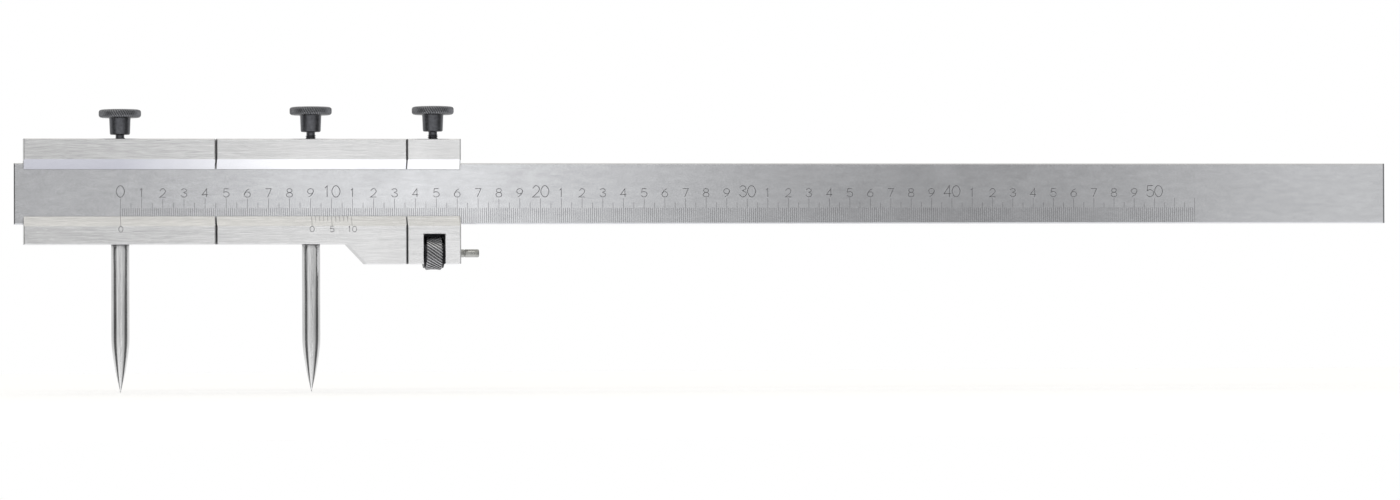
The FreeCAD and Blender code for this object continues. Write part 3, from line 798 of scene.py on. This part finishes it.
thumbScrew = {
    "teeth": 54,
    "slant": -62.5,  # turn of the knurl, radians per metre of height
    # radius, height in millimetres
    "under": [(1.9, -2.4), (1.9, -1.5), (2.05, -1.5), (2.05, -0.25), (2.3, 0)],
    "neck": [
        (4.05, 0), (4.4, 0.08), (4.65, 0.3), (4.75, 0.7), (5.02, 7.45), (5.1, 7.75), (5.35, 7.92),
        (6.5, 7.95), (8.0, 8.0),
    ],
    # crest radius, root radius, height in millimetres
    "rim": [
        (8.5, 8.5, 8.02), (9.1, 8.95, 8.15), (9.6, 9.38, 8.45), (9.88, 9.58, 8.85), (10, 9.66, 9.4),
        (10, 9.66, 10.75), (9.86, 9.55, 11.2), (9.55, 9.3, 11.56), (9.05, 8.86, 11.8), (8.35, 8.25, 11.93),
        (7.9, 7.9, 11.96),
    ],
    "top": [(7.6, 11.98), (7.45, 11.93), (3.5, 12.06), (1.0, 12.08), (0.7, 11.7)],
    "crestsFrom": 0.0081,  # radius in metres, beyond which the knurl is
    "thread": {
        "radius": 0.00245, "depth": 0.00045, "pitch": 0.0008, "low": -0.01081, "high": -0.0015,
        "steps": 28,
    },
    "smooth": 35,
}


def inMetres(levels):
    return [tuple(value / 1000 for value in level) for level in levels]


def makeThumbScrew(name):
    form = thumbScrew
    profile = plain(inMetres(form["under"] + form["neck"]))
    heightNow = profile[-1][2]
    for crest, root, height in inMetres(form["rim"]):
        profile.append((crest, root, height, form["slant"] * (height - heightNow)))
        heightNow = height
    profile += plain(inMetres(form["top"]))
    count = toothPoints * form["teeth"]
    head = startRing(name + "Head", count, profile[0][0], profile[0][2])
    markCrests(head)
    drawUp(head, profile)
    closeEnds()
    keepCrests(head, form["crestsFrom"], 0)
    shank = makeThread(name + "Shank", form["thread"])
    return joinAs(name, [head, shank])


screwPlaces = {
    # piece: place along X and height of the neck's foot, the body that it rides on, the solid
    "zeroThumbScrew": ((0, 0, 0.122), "zero_screw", "zero_clamp_screw"),
    "vernierThumbScrew": ((vernierX, 0, 0.1234), "vernier_screw", "vernier_clamp_screw"),
    "carriageThumbScrew": ((carriageX, 0, 0.1237), "carriage_screw", "carriage_clamp_screw"),
}
pattern = makeThumbScrew("thumbScrewPattern")
smooth(pattern, thumbScrew["smooth"])
for name, (place, body, solid) in screwPlaces.items():
    screw = copyAs(name, pattern, place)
    dress(screw, materials["blackSteel"])
    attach(screw, body)
    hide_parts(solid)
bpy.data.objects.remove(pattern)
print("trammel: thumb screws")


# Adjusting nut, on the spindle's axis

nut = {
    "teeth": 32,
    "slant": 88,
    "place": (carriageX, 0, 0.0656),
    "crestsFrom": 0.0072,
    "hubShade": -1,  # the crest attribute's value on the hub, which is painted black as the shade in the window
    "smooth": 35,
    # radii and place along the spindle in millimetres, as on the thumb screws
    "left": [(2.0, -4.9), (6.6, -4.9), (7.05, -4.75), (7.05, -4.35), (6.7, -4.25), (6.7, -4.0)],
    "rim": [
        (7.15, 7.15, -4.0), (7.6, 7.45, -3.8), (7.88, 7.58, -3.5), (8.0, 7.6, -3.2),
        (8.0, 7.6, 3.2), (7.88, 7.58, 3.5), (7.6, 7.45, 3.8), (7.15, 7.15, 4.0),
    ],
    "right": [(6.7, 4.0), (6.7, 4.25), (7.05, 4.35), (7.05, 4.75), (6.6, 4.9), (2.0, 4.9)],
}


def makeNut():
    profile = plain(inMetres(nut["left"]))
    heightNow = profile[-1][2]
    for crest, root, height in inMetres(nut["rim"]):
        profile.append((crest, root, height, nut["slant"] * (height - heightNow)))
        heightNow = height
    profile += plain(inMetres(nut["right"]))
    count = toothPoints * nut["teeth"]
    piece = startRing("adjustingNut", count, profile[0][0], profile[0][2])
    markCrests(piece)
    drawUp(piece, profile)
    bpy.ops.mesh.select_all(action="DESELECT")
    bpy.ops.mesh.select_non_manifold(extend=False)
    bpy.ops.mesh.bridge_edge_loops()
    bpy.ops.mesh.select_all(action="SELECT")
    bpy.ops.mesh.normals_make_consistent(inside=False)
    bpy.ops.object.mode_set(mode="OBJECT")
    # the hub is marked for the painted shade of the carriage's window
    keepCrests(piece, nut["crestsFrom"], nut["hubShade"])
    piece.rotation_euler = (0, math.pi / 2, 0)
    piece.location = nut["place"]
    settle(piece)
    smooth(piece, nut["smooth"])
    dress(piece, materials["nutSteel"])
    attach(piece, "nut")
    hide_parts("adjusting_nut")


makeNut()
print("trammel: adjusting nut")


# Spindle: a long screw with a plain end that comes out of the carriage

spindle = {
    "place": (0, 0, 0.0656),
    "count": 56,
    "smooth": 35,
    # radius, place along X in millimetres
    "shank": [(1.75, 125.4), (1.95, 125.6), (1.95, 137.0), (1.7, 137.2), (1.5, 137.4), (1.5, 137.9)],
    "tail": [
        (1.5, 158.9), (1.5, 159.9), (1.95, 160.2), (1.95, 163.35), (1.88, 163.45), (1.7, 163.5),
        (1.7, 163.8), (1.88, 163.85), (1.95, 163.95), (1.95, 170.15), (1.85, 170.4), (1.55, 170.6),
    ],
    "thread": {
        "radius": 0.00195, "depth": 0.0004, "pitch": 0.0007, "low": 0.1372, "high": 0.160, "steps": 24,
    },
}


def makeSpindle():
    shank = makeTurned("spindleShank", spindle["count"], inMetres(spindle["shank"]))
    tail = makeTurned("spindleTail", spindle["count"], inMetres(spindle["tail"]))
    screw = makeThread("spindleScrew", spindle["thread"])
    piece = joinAs("adjustingSpindle", [shank, tail, screw])
    piece.rotation_euler = (0, math.pi / 2, 0)
    piece.location = spindle["place"]
    settle(piece)
    smooth(piece, spindle["smooth"])
    dress(piece, materials["spindleSteel"])
    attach(piece, "vernier_head")
    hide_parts("adjusting_spindle")


makeSpindle()
print("trammel: spindle")


# Points: turned once and copied

scriber = {
    "count": 72,
    "smooth": 30,
    # radius, height in millimetres
    "form": [
        (0.05, 0), (0.11, 0.08), (0.64, 2.1), (1.3, 4.6), (1.87, 7.0), (2.34, 9.5), (2.8, 12.2),
        (3.2, 14.7), (3.58, 17.2), (3.88, 19.5), (4.1, 21.6), (4.22, 23.2), (4.28, 24.8), (4.3, 26.5),
        (4.3, 69.75), (4.2, 70.0), (2.5, 70.0), (2.5, 77.2), (2.2, 77.5),
    ],
}


def makePoints():
    first = makeTurned("zeroScriber", scriber["count"], inMetres(scriber["form"]))
    smooth(first, scriber["smooth"])
    second = copyAs("vernierScriber", first, (vernierX, 0, 0))
    for piece, body, solid in (
        (first, "zero_head", "zero_point"),
        (second, "vernier_head", "vernier_point"),
    ):
        dress(piece, materials["pointSteel"])
        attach(piece, body)
        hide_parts(solid)


makePoints()
print("trammel: scriber points")


# Graduation of the beam: marks at every millimetre, longer at five and ten

marks = {
    "count": 521,
    "step": 0.001,
    "width": 0.00017,
    "front": -0.00301,  # a hair in front of the steel, so that the ink shows
    "depth": 0.00004,
    "foot": 0.08,
    "height": 0.0072,
    "fiveMore": 0.0025,
    "tenMore": 0.002,
}


def makeMarks():
    clearSelection()
    middle = (0, marks["front"] + marks["depth"] / 2, marks["foot"] + marks["height"] / 2)
    size = (marks["width"], marks["depth"], marks["height"])
    bpy.ops.mesh.primitive_cube_add(size=1, location=middle, scale=size)
    piece = named("beamMarks")
    settle(piece)
    row = piece.modifiers.new("row", "ARRAY")
    row.count = marks["count"]
    row.use_relative_offset = False
    row.use_constant_offset = True
    row.constant_offset_displace = (marks["step"], 0, 0)
    applyModifiers(piece)
    bpy.ops.object.mode_set(mode="EDIT")
    bpy.ops.mesh.select_mode(type="FACE")
    # the tops of every fifth mark are drawn up, and then those of every tenth once more
    for every, rise in ((5, marks["fiveMore"]), (10, marks["tenMore"])):
        bpy.ops.mesh.select_all(action="DESELECT")
        mesh = bmesh.from_edit_mesh(piece.data)
        top = marks["foot"] + marks["height"] + (marks["fiveMore"] if every == 10 else 0)
        for face in mesh.faces:
            centre = face.calc_center_median()
            number = round(centre.x / marks["step"])
            face.select_set(abs(centre.z - top) < tiny and number % every == 0)
        bmesh.update_edit_mesh(piece.data)
        bpy.ops.mesh.extrude_region_move(TRANSFORM_OT_translate={"value": (0, 0, rise)})
    bpy.ops.object.mode_set(mode="OBJECT")
    return piece


# Numerals, each digit of thin strokes as a graver leaves them

digits = {
    # strokes as (closed, points); a point is (x, y, rounded) on a field one wide and one high
    "0": [(True, [(0.5, 0, 1), (1, 0.3, 1), (1, 0.7, 1), (0.5, 1, 1), (0, 0.7, 1), (0, 0.3, 1)])],
    "1": [(False, [(0.22, 0.8, 0), (0.5, 1, 0), (0.5, 0, 0)])],
    "2": [(False, [(0.03, 0.76, 1), (0.48, 1, 1), (0.95, 0.74, 1), (0.7, 0.4, 1), (0, 0, 0), (1, 0, 0)])],
    "3": [(False, [(0.05, 0.84, 1), (0.48, 1, 1), (0.92, 0.77, 1), (0.42, 0.55, 0)]),
          (False, [(0.46, 0.545, 0), (1, 0.29, 1), (0.48, 0, 1), (0, 0.2, 1)])],
    "4": [(False, [(0.76, 0, 0), (0.76, 1, 0), (0, 0.28, 0), (1, 0.28, 0)])],
    "5": [(False, [(0.9, 1, 0), (0.16, 1, 0), (0.08, 0.54, 0), (0.5, 0.64, 1), (1, 0.33, 1),
                   (0.48, 0, 1), (0, 0.18, 1)])],
    "6": [(False, [(0.82, 0.98, 1), (0.3, 0.72, 1), (0, 0.3, 1)]),
          (True, [(0.5, 0, 1), (1, 0.31, 1), (0.5, 0.62, 1), (0, 0.31, 1)])],
    "7": [(False, [(0, 1, 0), (1, 1, 0), (0.36, 0, 0)])],
    "8": [(True, [(0.5, 0.55, 1), (0.92, 0.78, 1), (0.5, 1, 1), (0.08, 0.78, 1)]),
          (True, [(0.5, 0, 1), (1, 0.27, 1), (0.5, 0.53, 1), (0, 0.27, 1)])],
    "9": [(False, [(0.18, 0.02, 1), (0.7, 0.28, 1), (1, 0.7, 1)]),
          (True, [(0.5, 0.38, 1), (1, 0.69, 1), (0.5, 1, 1), (0, 0.69, 1)])],
}
numbers = {
    "foot": 0.0924,
    "count": 51,
    "back": 0.00001,  # how far the numbers stand behind the marks' front
    "curvePoints": 6,
    "mergeGap": 1e-7,
    "flatness": 0.08,
    "small": {"width": 0.0028, "height": 0.0040, "stroke": 0.0003, "pitch": 0.004},
    "large": {"width": 0.0034, "height": 0.0054, "stroke": 0.00033, "pitch": 0.0042},
    "vernier": {"width": 0.0018, "height": 0.0027, "stroke": 0.00026, "pitch": 0.0023},
}


def makeDigit(digit, size):
    # one digit as flat strokes in the XY plane, its foot on the X axis and its middle at zero
    clearSelection()
    bpy.ops.curve.primitive_bezier_curve_add()
    piece = named("digit" + digit)
    line = piece.data
    line.dimensions = "2D"
    line.fill_mode = "NONE"
    line.splines.clear()
    for closed, points in digits[digit]:
        spline = line.splines.new("BEZIER")
        spline.bezier_points.add(len(points) - 1)
        spline.use_cyclic_u = closed
        for bend, (x, y, rounded) in zip(spline.bezier_points, points):
            bend.co = ((x - 0.5) * size["width"], y * size["height"], 0)
            bend.handle_left_type = bend.handle_right_type = "AUTO" if rounded else "VECTOR"
    line.resolution_u = numbers["curvePoints"]
    line.bevel_depth = size["stroke"] / 2
    line.bevel_resolution = 1
    line.use_fill_caps = True
    bpy.ops.object.convert(target="MESH")
    bpy.ops.object.mode_set(mode="EDIT")
    bpy.ops.mesh.select_all(action="SELECT")
    bpy.ops.mesh.remove_doubles(threshold=numbers["mergeGap"])
    bpy.ops.transform.resize(value=(1, 1, numbers["flatness"]), center_override=(0, 0, 0))
    closeEnds()
    return piece


def makeNumbers(name, labels, size, front):
    # labels as (text, x, z of the foot); each digit is drawn once and copied
    used = sorted({digit for text, x, z in labels for digit in text})
    patterns = {digit: makeDigit(digit, size) for digit in used}
    placed = []
    for text, x, z in labels:
        for index, digit in enumerate(text):
            selectOnly(patterns[digit])
            bpy.ops.object.duplicate()
            twin = bpy.context.object
            twin.rotation_euler = (math.pi / 2, 0, 0)
            fromMiddle = (index - (len(text) - 1) / 2) * size["pitch"]
            twin.location = (x + fromMiddle, front, z)
            settle(twin)
            placed.append(twin)
    for one in patterns.values():
        bpy.data.objects.remove(one)
    return joinAs(name, placed)


def makeScale():
    lines = makeMarks()
    small = []
    large = []
    for centimetre in range(numbers["count"]):
        labels = small if centimetre % 10 else large
        text = str(centimetre % 10 or centimetre)
        labels.append((text, centimetre * 10 * marks["step"], numbers["foot"]))
    front = marks["front"] + numbers["back"]
    smallOnes = makeNumbers("smallNumbers", small, numbers["small"], front)
    largeOnes = makeNumbers("largeNumbers", large, numbers["large"], front)
    figures = joinAs("beamNumbers", [smallOnes, largeOnes])
    for piece in (lines, figures):
        dress(piece, materials["ink"])
        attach(piece, "beam")


makeScale()
print("trammel: graduation and numbers of the beam")


# Vernier and zero line on the slanted reading edges, with their numbers below

vernier = {
    "step": 0.0019,
    "count": 11,
    "width": 0.00016,
    "depth": 0.00006,
    "edge": (-0.00345, 0.0833),  # Y and Z of the reading edge
    "foot": (-0.007, 0.0786),  # Y and Z where the bevel ends
    "shortShare": 0.52,
    "numbered": (0, 5, 10),
    "numberFoot": 0.0758,
    "face": -0.007,
}


def makeBevelMark(name, x, share):
    # a mark from the reading edge down over a share of the bevel
    (topY, topZ), (lowY, lowZ) = vernier["edge"], vernier["foot"]
    endY = topY + (lowY - topY) * share
    endZ = topZ + (lowZ - topZ) * share
    tilt = math.atan2(lowY - topY, topZ - lowZ)
    length = math.hypot(endY - topY, endZ - topZ)
    clearSelection()
    middle = (x, (topY + endY) / 2, (topZ + endZ) / 2)
    size = (vernier["width"], vernier["depth"], length)
    bpy.ops.mesh.primitive_cube_add(size=1, location=middle, rotation=(tilt, 0, 0), scale=size)
    mark = named(name)
    settle(mark)
    return mark


def makeVernier():
    lines = []
    labels = []
    for index in range(vernier["count"]):
        x = vernierX + index * vernier["step"]
        share = 1 if index in vernier["numbered"] else vernier["shortShare"]
        lines.append(makeBevelMark("vernierMark", x, share))
        if index in vernier["numbered"]:
            labels.append((str(index), x, vernier["numberFoot"]))
    lines = joinAs("vernierMarks", lines)
    figures = makeNumbers("vernierNumbers", labels, numbers["vernier"], vernier["face"])
    zeroLine = makeBevelMark("zeroMark", 0, 1)
    zeroLabels = [("0", 0, vernier["numberFoot"])]
    zeroFigure = makeNumbers("zeroNumber", zeroLabels, numbers["vernier"], vernier["face"])
    for piece, body in (
        (lines, "vernier_head"),
        (figures, "vernier_head"),
        (zeroLine, "zero_head"),
        (zeroFigure, "zero_head"),
    ):
        dress(piece, materials["ink"])
        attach(piece, body)


makeVernier()
print("trammel: vernier and zero line")
